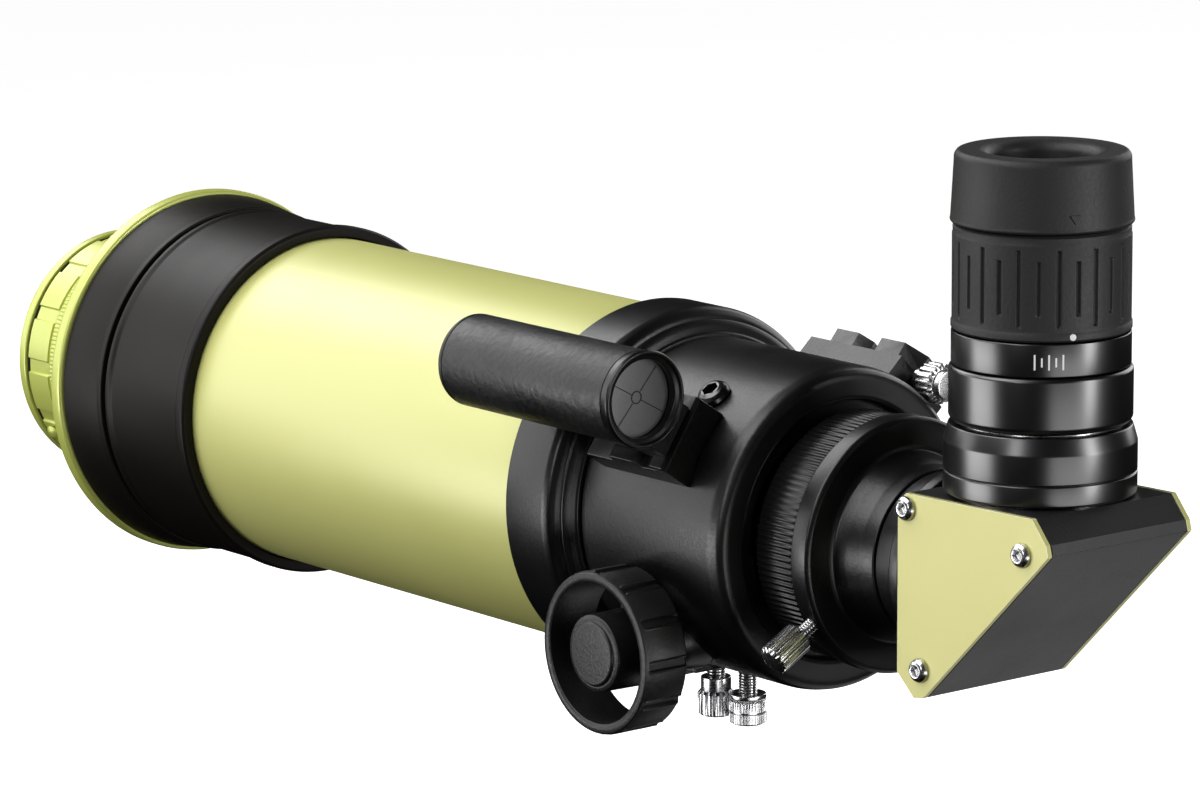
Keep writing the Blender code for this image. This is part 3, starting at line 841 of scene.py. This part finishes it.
def thumb_screw(node, place, shank, head, flutes, collars=(), split=None):
    """Fluted thumb screw: shank, head and each collar are (radius, low, high) along the frame's Z.

    A groove round a split head lies at the height that split gives.
    """
    radius, low, high = shank
    profile = [(0, high)] + thread(radius, low, high) + [(0, low)]
    parts = [lathe(node + "_rod", profile, place, SMALL, 0)]
    big, start, end = head
    depth = SPLIT_FLUTE_DEPTH if split else FLUTE_DEPTH

    def fluted(turn, r, height):
        if r < big - 0.3:
            return r
        return r - depth * (1 - raised(turn, flutes, 0.62, 0.5))

    profile = [(0, end), (big - 1.3, end), (big - 0.8, end - 0.15), (big, end - 0.6)]
    if split:
        profile += [(big, split + 0.25), (big - 0.5, split + 0.1)]
        profile += [(big - 0.5, split - 0.1), (big, split - 0.25)]
    profile += [(big, start + 0.6), (big - 0.6, start), (0, start)]
    parts.append(lathe(node + "_head", profile, place, 12 * flutes, 0, fluted))
    for i, (r, bottom, top) in enumerate(collars):
        profile = [(0, top), (r, top), (r, bottom), (0, bottom)]
        parts.append(lathe(f"{node}_collar_{i}", profile, place, SMALL, 0.3))
    add(joined(node + "_look", *parts), "chrome", node, node)


def button(node, look, body, place, seat, head, depth):
    """Button-head screw with a hexagon socket: head is its radius, and depth its shank below the seat."""

    def hexagon(turn, radius, height):
        if radius > head * 0.52 or height < seat:
            return radius
        sixth = math.pi / 3
        return radius * math.cos(sixth / 2) / math.cos(turn % sixth - sixth / 2)

    top = seat + head * 0.56
    profile = [
        (0, seat + 0.2),
        (head * 0.5, seat + 0.2),
        (head * 0.5, top - 0.05),
        (head * 0.56, top),
        (head * 0.78, seat + head * 0.46),
        (head * 0.94, seat + head * 0.27),
        (head, seat + 0.2),
        (head, seat),
        (head * 0.48, seat),
        (head * 0.48, seat - depth),
        (0, seat - depth),
    ]
    add(lathe(node + "_look", profile, place, BUTTON_STEPS, 0.12, hexagon), look, body, node)


def screw_frame(name, outward=1, **origin):
    """Frame of a screw's joint, with its origin moved along the axis to the coordinates given."""
    place = joint_frame(name + "_turn", outward)
    for index, coordinate in enumerate("xyz"):
        if coordinate in origin:
            place.translation[index] = origin[coordinate]
    return place


def thumb_screws():
    place = screw_frame("tension_screw", -1, z=0)
    thumb_screw("tension_screw", place, (2.0, 31.4, 42.0), (3.95, 41.2, 46.7), 16, [(3.2, 38.2, 41.4)])
    place = screw_frame("lock_screw", -1, z=0)
    thumb_screw("lock_screw", place, (2.0, 20.9, 42.0), (3.95, 40.9, 46.6), 40, [(3.9, 39.9, 41.0)], 43.8)
    place = screw_frame("clamp_screw", x=0, z=0)
    thumb_screw("clamp_screw", place, (1.5, 16.3, 33.0), (3.3, 30.1, 38.6), 14)
    place = screw_frame("shoe_screw", -1, y=0)
    collars = [(2.4, 113.4, 116.4), (3.25, 121.2, 122.8)]
    thumb_screw("shoe_screw", place, (1.5, 109.0, 122.2), (4.25, 116.2, 120.9), 18, collars)
    place = screw_frame("holder_screw", x=0, y=middle("eyepiece_holder").y)
    thumb_screw("holder_screw", place, (1.5, 16.4, 26.0), (3.3, 22.0, 28.5), 14)


# ---------------------------------------------------------------- shoes and finder

FINDER_BORE_R = 8.5
PINHOLE_R = 1.0
EYE_RING_R = 10.0
EYE_RING_BORE_R = 8.0
SCREEN_R = 8.2
LINE_THICK = 0.08
LINE_HALF = 0.1
LINE_ANGLES = (49, 151, 229, 331)


def shoes():
    for node in ("shoe_left", "shoe_right"):
        add(copied(node, 0.3, 2), "cast_black", "telescope", node)


def sun_finder():
    """Tube with a pinhole cap in front, and a screen in a ring behind."""
    low, high = limits("finder_tube")
    centre = middle("finder_tube")
    place = axis_frame((0, 1, 0), (centre.x, 0, centre.z))
    r = (high.x - low.x) / 2
    profile = [(r, high.y), (r, low.y), (FINDER_BORE_R, low.y), (FINDER_BORE_R, high.y)]
    add(lathe("finder_tube_look", profile, place, MEDIUM, 0.2), "mottled", "finder", "finder_tube")
    front = limits("finder_front_cap")[1].y
    back = high.y + 0.1
    profile = [(r - 0.9, front), (r, front - 0.9), (r, back), (PINHOLE_R, back), (PINHOLE_R, front)]
    add(lathe("finder_front_cap_look", profile, place, MEDIUM, 0.4), "mottled", "finder", "finder_front_cap")
    back = limits("finder_rear_ring")[0].y
    profile = [
        (EYE_RING_R - 0.2, back + 2.5),
        (EYE_RING_R, back + 0.6),
        (EYE_RING_R - 0.3, back),
        (EYE_RING_R - 0.7, back),
        (EYE_RING_R - 1.1, back + 0.5),
        (EYE_RING_BORE_R, back + 0.9),
        (EYE_RING_BORE_R, back + 2.5),
    ]
    ring = lathe("finder_rear_ring_look", profile, place, MEDIUM, 0.2)
    add(ring, "satin_black", "finder", "finder_rear_ring")
    finder_screen(place)
    add(copied("finder_foot", 0.3, 2), "mottled", "finder", "finder_foot")


def finder_screen(place):
    """Grey screen with a small circle and four lines printed on its rear face."""
    low, high = limits("finder_screen")
    profile = [(0, high.y), (SCREEN_R, high.y), (SCREEN_R, low.y), (0, low.y)]
    add(lathe("finder_screen_look", profile, place, MEDIUM, 0.15), "screen_grey", "finder", "finder_screen")
    profile = [(1.35, LINE_THICK), (1.35, 0), (1.1, 0), (1.1, LINE_THICK)]
    marks = [lathe("mark_circle", profile, Matrix.Identity(4), SMALL, 0)]
    outline = [(1.5, -LINE_HALF), (7.6, -LINE_HALF), (7.6, LINE_HALF), (1.5, LINE_HALF)]
    for i, angle in enumerate(LINE_ANGLES):
        turn = Matrix.Rotation(math.radians(angle), 4, "Z")
        marks.append(plate(f"mark_{i}", outline, 0, LINE_THICK, turn))
    lines = joined("finder_screen_lines", *marks)
    spot = Vector((place.translation.x, low.y - 0.02, place.translation.z))
    lines.data.transform(Matrix.Translation(spot * MM) @ Matrix.Rotation(math.pi / 2, 4, "X"))
    add(lines, "line_black", "finder")


# ---------------------------------------------------------------- diagonal

BARREL_R = 15.87
PLATE_SCREWS = (1, 2, 3)
PLATE_SEAT = 19.2
NOSE_UNDERCUT_R = 15.5
NOSE_UNDERCUT_FRONT = -134.0
NOSE_UNDERCUT_BACK = -141.4
NOSE_SHOULDER_R = 17.0
NOSE_SHOULDER_Y = -150.4
NOSE_FLANGE_R = 18.9
NOSE_FLANGE_FRONT = -155.0
NOSE_FLANGE_BACK = -159.1
NOSE_SPIGOT_R = 13.7
NOSE_BORE_R = 12.6
HOLDER_MOUTH_R = 18.05


def diagonal_housing():
    """Black housing between two painted side plates, whose bevelled edges are coloured near-white as a
    painted highlight.
    """
    add(copied("diagonal_body", 0.7), "housing", "diagonal", "diagonal_body")
    for side, name in SIDES:
        node = f"side_plate_{name}"
        cover = add(copied(node, 0.5, 3), "plate_green", "diagonal", node)
        # The bevels take the near-white painted highlight.
        cover.data.materials.append(shades["painted_edge_highlight"])
        cover.modifiers["edges"].material = 1
        for number in PLATE_SCREWS:
            plate_screw(side, f"plate_screw_{name}_{number}")


def plate_screw(side, node):
    centre = middle(node)
    place = axis_frame((side, 0, 0), (0, centre.y, centre.z))
    button(node, "chrome", "diagonal", place, PLATE_SEAT, 2.5, 2.8)


def diagonal_nose():
    """Barrel with its safety undercut, and the flange that meets the housing."""
    low, high = limits("diagonal_nose")
    profile = [
        (BARREL_R, high.y),
        (BARREL_R, NOSE_UNDERCUT_FRONT),
        (NOSE_UNDERCUT_R, NOSE_UNDERCUT_FRONT - 0.4),
        (NOSE_UNDERCUT_R, NOSE_UNDERCUT_BACK + 0.4),
        (BARREL_R, NOSE_UNDERCUT_BACK),
        (BARREL_R, NOSE_SHOULDER_Y),
        (NOSE_SHOULDER_R, NOSE_SHOULDER_Y),
        (NOSE_SHOULDER_R, NOSE_FLANGE_FRONT),
        (NOSE_FLANGE_R, NOSE_FLANGE_FRONT - 1.5),
        (NOSE_FLANGE_R, NOSE_FLANGE_BACK),
        (NOSE_SPIGOT_R, NOSE_FLANGE_BACK),
        (NOSE_SPIGOT_R, low.y),
        (NOSE_BORE_R, low.y),
        (NOSE_BORE_R, high.y),
    ]
    add(lathe("diagonal_nose_look", profile, ALONG_Y, FINE, 0.3), "satin_black", "diagonal", "diagonal_nose")


def eyepiece_holder(place):
    """Socket on the housing, with a cone at its mouth and a fine seam near its foot."""
    low, high = limits("eyepiece_holder")
    r = high.x
    seam = low.z + 4.4
    profile = [
        (HOLDER_MOUTH_R, high.z),
        (r, high.z - 3.3),
        (r, seam + 0.2),
        (r - 0.35, seam),
        (r, seam - 0.2),
        (r, low.z + 0.4),
        (r - 0.4, low.z),
        (SOCKET_R, low.z),
        (SOCKET_R, high.z),
    ]
    holder = lathe("eyepiece_holder_look", profile, place, FINE, 0.25)
    add(holder, "gloss_black", "diagonal", "eyepiece_holder")


# ---------------------------------------------------------------- eyepiece

BARREL_TOP_Z = 32.0
BARREL_BORE_R = 14.4
LENS_HOUSING_R = 11.7
BODY_NECK_R = 14.5
BODY_BORE_R = 12.0
GRIP_BORE_R = 14.8
TICK_MARKS = 5
TICK_STEP = 4.5
TICK_FACING = -128
TICK_Z = 46.6
DOT_FACING = -113
DOT_R = 17.75
DOT_Z = 51.4
GROOVES = 28
GRIP_ROWS = 46
CUP_MARK_FACING = -112
CUP_FLOOR_Z = 78.3
CUP_HOLE_R = 10.2


def eyepiece_barrel(place):
    low, high = limits("eyepiece_barrel")
    profile = [
        (LENS_HOUSING_R, high.z),
        (LENS_HOUSING_R, BARREL_TOP_Z),
        (BARREL_R, BARREL_TOP_Z),
        (BARREL_R, low.z),
        (BARREL_BORE_R, low.z),
        (BARREL_BORE_R, BARREL_TOP_Z - 1.5),
        (LENS_HOUSING_R - 1.1, BARREL_TOP_Z - 1.5),
        (LENS_HOUSING_R - 1.1, high.z),
    ]
    add(lathe("eyepiece_barrel_look", profile, place, FINE, 0.3), "chrome", "eyepiece", "eyepiece_barrel")


def eyepiece_body(place):
    low, high = limits("eyepiece_body")
    r = high.x
    shoulder = limits("eyepiece_band")[0].z - GAP
    profile = [
        (BODY_NECK_R, high.z),
        (BODY_NECK_R, shoulder),
        (r - 0.5, shoulder),
        (r, shoulder - 0.5),
        (r, low.z + 1.0),
        (r - 0.6, low.z),
        (BODY_BORE_R, low.z),
        (BODY_BORE_R, high.z),
    ]
    add(lathe("eyepiece_body_look", profile, place, FINE, 0.3), "gloss_black", "eyepiece", "eyepiece_body")


def eyepiece_band(place):
    low, high = limits("eyepiece_band")
    profile = [(high.x, high.z), (high.x, low.z), (GRIP_BORE_R, low.z), (GRIP_BORE_R, high.z)]
    add(lathe("eyepiece_band_look", profile, place, FINE, 0.25), "gloss_black", "eyepiece", "eyepiece_band")
    eyepiece_ticks(place, high.x)


def side_spot(place, facing, radius, height):
    """Frame on the side of the eyepiece: Z points out, and X up."""
    turn = math.radians(facing)
    out = Vector((math.cos(turn), math.sin(turn), 0))
    return place @ axis_frame(out, out * radius + Vector((0, 0, height)), (0, 0, 1))


def eyepiece_ticks(place, radius):
    """Plain white ticks, long and short in turn, in place of printed lettering."""
    ticks = []
    for i in range(TICK_MARKS):
        long = 1.5 if i % 2 == 0 else 0.9
        outline = [(-long, -0.17), (long, -0.17), (long, 0.17), (-long, 0.17)]
        facing = TICK_FACING + TICK_STEP * (i - 2)
        ticks.append(plate(f"tick_{i}", outline, 0, 0.06, side_spot(place, facing, radius - 0.02, TICK_Z)))
    add(joined("eyepiece_ticks", *ticks), "white_mark", "eyepiece")


def eyepiece_dot(place):
    profile = [(0, 0.1), (0.65, 0.1), (0.65, -0.3), (0, -0.3)]
    dot = lathe("eyepiece_dot", profile, side_spot(place, DOT_FACING, DOT_R, DOT_Z), SMALL, 0.05)
    add(dot, "white_mark", "eyepiece")


def eyepiece_grip(place):
    """Rubber sleeve with long and short upright grooves in turn, over a rim at its foot."""
    low, high = limits("eyepiece_grip")
    r = high.x
    tall = high.z - low.z
    pitch = 2 * math.pi / GROOVES

    def grooves(turn, radius, height):
        if radius < r - 0.8:
            return radius
        index = int(turn / pitch)
        inset = 2.9 if index % 2 == 0 else 5.0
        if abs(height - (low.z + high.z) / 2) > tall / 2 - inset:
            return radius
        away = abs(turn / pitch - index - 0.5)
        return radius - 0.55 * max(0, 1 - (away / 0.13) ** 2)

    profile = [(r - 0.7, high.z), (r - 0.1, high.z - 0.5), (r - 0.15, high.z - 1.6), (r, high.z - 1.9)]
    profile += [(r, high.z - 2.0 - (tall - 4.0) * i / GRIP_ROWS) for i in range(GRIP_ROWS + 1)]
    profile += [(r + 0.05, low.z + 1.7), (r + 0.2, low.z + 1.5), (r + 0.2, low.z + 0.4)]
    profile += [(r - 0.2, low.z), (GRIP_BORE_R, low.z), (GRIP_BORE_R, high.z)]
    sleeve = lathe("eyepiece_grip_look", profile, place, 24 * GROOVES, 0, grooves)
    add(sleeve, "rubber", "eyepiece", "eyepiece_grip")


def eyecup(place):
    """Soft cup with a rounded rim, and a small raised arrow on its side."""
    low, high = limits("eyecup")
    r = high.x
    top = high.z
    profile = [
        (r - 1.5, top),
        (r - 0.8, top - 0.9),
        (r - 0.75, top - 2.4),
        (r - 0.15, low.z + 1.0),
        (r, low.z + 0.5),
        (r - 0.3, low.z),
        (GRIP_BORE_R, low.z),
        (GRIP_BORE_R, CUP_FLOOR_Z),
        (CUP_HOLE_R, CUP_FLOOR_Z),
        (CUP_HOLE_R, top - 1.6),
        (11.0, top - 0.5),
        (12.2, top),
    ]
    cup = lathe("eyecup_look", profile, place, FINE, 0.7)
    spot = side_spot(place, CUP_MARK_FACING, r - 0.45, low.z + 2.9)
    arrow = plate("eyecup_mark", [(-1.0, 0), (0.8, 1.1), (0.8, -1.1)], 0, 0.45, spot)
    add(joined("eyecup_look", cup, arrow), "rubber_dark", "eyepiece", "eyecup")


def eye_lens(place):
    low, high = limits("eye_lens")
    r = LENS_HOUSING_R
    profile = [(0, high.z), (6.0, high.z - 0.4), (r, high.z - 1.5)]
    profile += [(r, low.z + 1.5), (6.0, low.z + 0.4), (0, low.z)]
    add(lathe("eye_lens_look", profile, place, MEDIUM, 0.1), "lens_glass", "eyepiece", "eye_lens")


# ---------------------------------------------------------------- CAD nodes that show as they are

CARRIED_OVER = {
    "pinion_shaft": "steel",
    "diagonal_mirror": "silvered",
    "lens_cell": "satin_black",
    "baffle": "bore_black",
    "objective_crown": "lens_glass",
    "objective_flint": "lens_glass",
}


def carried_over():
    for node, look in CARRIED_OVER.items():
        data = frame["nodes"][node].data
        data.materials.clear()
        data.materials.append(shades[look])


# ---------------------------------------------------------------- stage, light, camera

FLOOR_Z_M = -0.32
FLOOR_HALF_M = 14.0
FLOOR_GLOW = 0.95


def floor():
    """White floor, which lights neither the object nor its reflections."""
    mesh = bpy.data.meshes.new("floor")
    half = FLOOR_HALF_M
    corners = [(-half, -half, 0), (half, -half, 0), (half, half, 0), (-half, half, 0)]
    mesh.from_pydata(corners, [], [(0, 1, 2, 3)])
    made = bpy.data.objects.new("floor", mesh)
    made.location.z = FLOOR_Z_M
    bpy.context.scene.collection.objects.link(made)
    pale = bpy.data.materials.new("floor_white")
    pale.use_nodes = True
    shader = pale.node_tree.nodes["Principled BSDF"]
    shader.inputs["Base Color"].default_value = (0.8, 0.8, 0.8, 1)
    shader.inputs["Roughness"].default_value = 0.9
    shader.inputs["Emission Color"].default_value = (1, 1, 1, 1)
    shader.inputs["Emission Strength"].default_value = FLOOR_GLOW
    mesh.materials.append(pale)
    made.visible_diffuse = False
    made.visible_glossy = False


def area_light(name, place, width, power, height=None, target=(0, -0.03, 0.01)):
    """Light turned to the target: place, width, height and target in metres, power in watts."""
    light = bpy.data.lights.new(name, "AREA")
    light.energy = power
    light.shape = "RECTANGLE"
    light.size = width
    light.size_y = height or width
    made = bpy.data.objects.new(name, light)
    made.location = place
    aim = Vector(target) - Vector(place)
    made.rotation_euler = aim.to_track_quat("-Z", "Y").to_euler()
    made.visible_camera = False
    bpy.context.scene.collection.objects.link(made)


def surround():
    """White surround, which the camera sees and the object doesn't."""
    world = bpy.data.worlds.new("studio")
    world.use_nodes = True
    world.node_tree.nodes["Background"].inputs["Color"].default_value = (1, 1, 1, 1)
    world.node_tree.nodes["Background"].inputs["Strength"].default_value = 1.0
    world.cycles_visibility.diffuse = False
    world.cycles_visibility.glossy = False
    bpy.context.scene.world = world
    bpy.context.scene.view_settings.view_transform = "Standard"


def lights():
    area_light("key_top", (-0.75, 0.20, 1.05), 1.0, 16.5)
    area_light("front_top", (-0.05, 1.25, 1.05), 0.9, 12)
    area_light("left_strip", (-1.40, -0.60, 0.55), 0.35, 5, 0.6)
    area_light("left_low", (-1.20, 0.55, -0.22), 0.9, 9, 0.4)
    area_light("right_strip", (0.50, -1.50, 0.22), 0.34, 14, 1.0)
    area_light("rear_low", (-0.1, -1.1, -0.24), 0.9, 3.0, 0.3)
    area_light("under", (0.20, -0.12, -0.27), 0.24, 0.1, target=(0, -0.185, -0.01))
    area_light("front_fill", (-0.9, 1.3, 0.4), 1.0, 8)
    area_light("right_fill", (1.4, 0.2, 0.5), 1.0, 8)


def camera():
    data = bpy.data.cameras.new("camera")
    data.lens = CAMERA_LENS
    data.sensor_width = 36.0
    data.shift_x = CAMERA_SHIFT
    made = bpy.data.objects.new("camera", data)
    turn = Matrix.Rotation(math.radians(-CAMERA_YAW), 4, "Z")
    tilt = Matrix.Rotation(math.radians(90 + CAMERA_PITCH), 4, "X")
    roll = Matrix.Rotation(math.radians(CAMERA_ROLL), 4, "Z")
    made.matrix_world = Matrix.Translation(CAMERA_PLACE_M) @ turn @ tilt @ roll
    bpy.context.scene.collection.objects.link(made)
    bpy.context.scene.camera = made


materials()
front_ring()
tuning_ring()
tuning_gap_shade()
tuning_button()
tuner_cell()
filters()
front_flange()
collar_front()
collar_rear()
main_tube()
back_cell()
focuser_body()
pinion_bushes()
focuser_cover()
drum_screw()
drawtube()
knurled_ring()
visual_back()
focus_knobs()
thumb_screws()
shoes()
sun_finder()
diagonal_housing()
diagonal_nose()
eye_axis = Matrix.Translation((0, middle("eyepiece_holder").y, 0))
eyepiece_holder(eye_axis)
eyepiece_barrel(eye_axis)
eyepiece_body(eye_axis)
eyepiece_band(eye_axis)
eyepiece_dot(eye_axis)
eyepiece_grip(eye_axis)
eyecup(eye_axis)
eye_lens(eye_axis)
carried_over()
floor()
surround()
lights()
camera()
